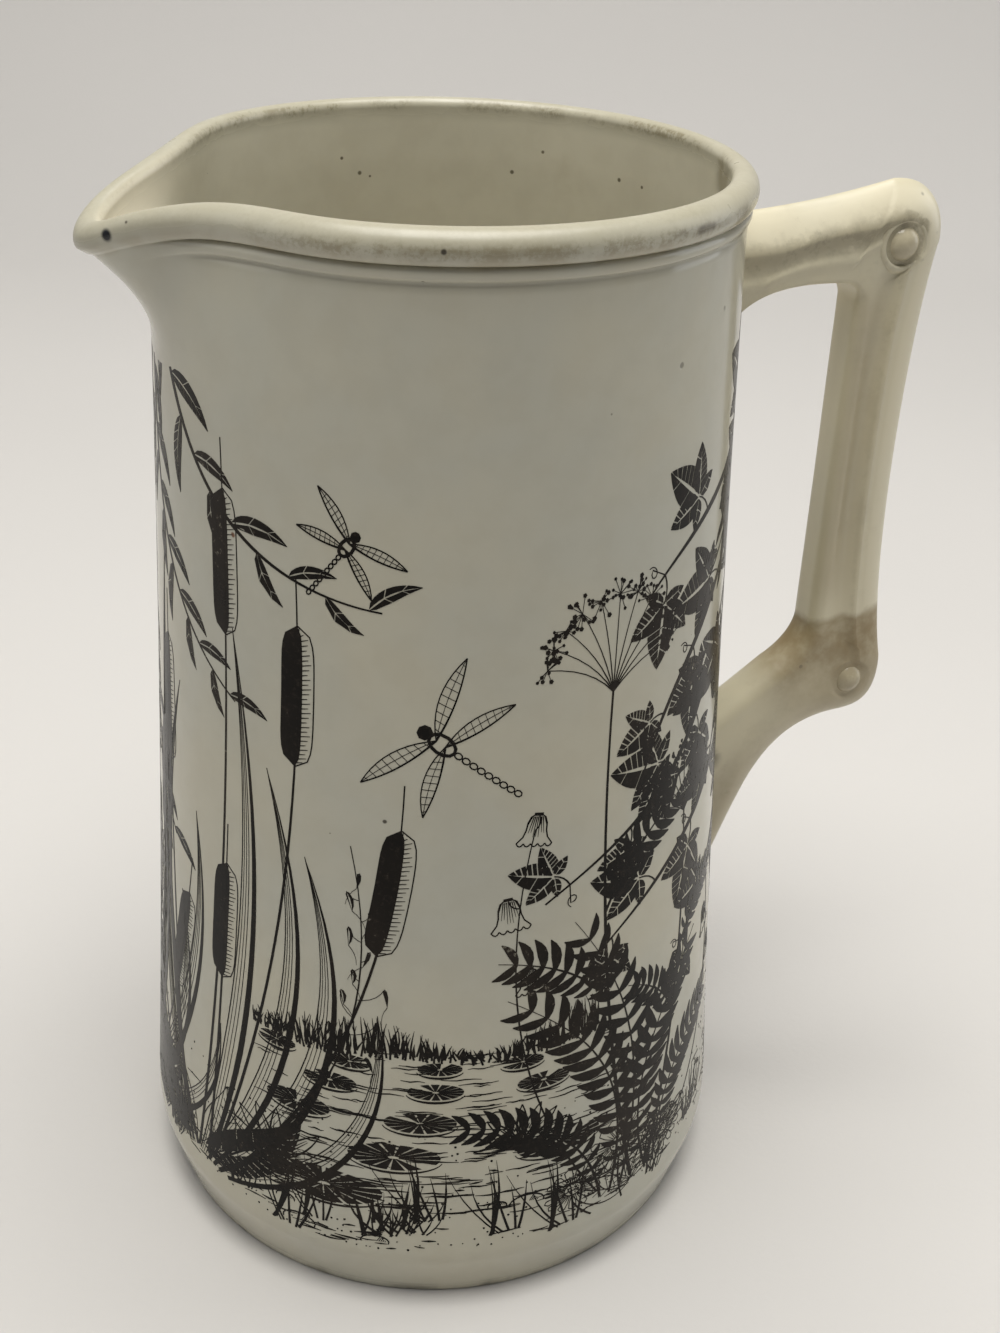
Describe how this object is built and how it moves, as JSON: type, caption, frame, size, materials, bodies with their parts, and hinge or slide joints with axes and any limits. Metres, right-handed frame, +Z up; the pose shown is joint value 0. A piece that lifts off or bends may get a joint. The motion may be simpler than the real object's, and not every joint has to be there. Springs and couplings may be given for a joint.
{
  "type": "earthenware water pitcher",
  "caption": "Tall tapering tankard-shaped earthenware pitcher with a drawn pouring lip, a moulded rim, a bevelled foot and an angular bracket handle.",
  "frame": {"origin": "centre of the base, where the jug's axis meets the surface that it stands on", "axes": "+Z up along the jug's axis, +X towards the handle, -X towards the pouring lip"},
  "size_m": [0.1575, 0.1154, 0.2],
  "materials": {
    "body_glaze": "glossy",
    "bare_ware": "matte",
    "handle_glaze": "glossy",
    "boss_glaze": "glossy"
  },
  "bodies": {
    "root": {"body_wall": "body_glaze", "base_disc": "bare_ware", "handle": "handle_glaze", "boss_upper_left": "boss_glaze", "boss_upper_right": "boss_glaze", "boss_lower_left": "boss_glaze", "boss_lower_right": "boss_glaze"}
  },
  "joints": []
}
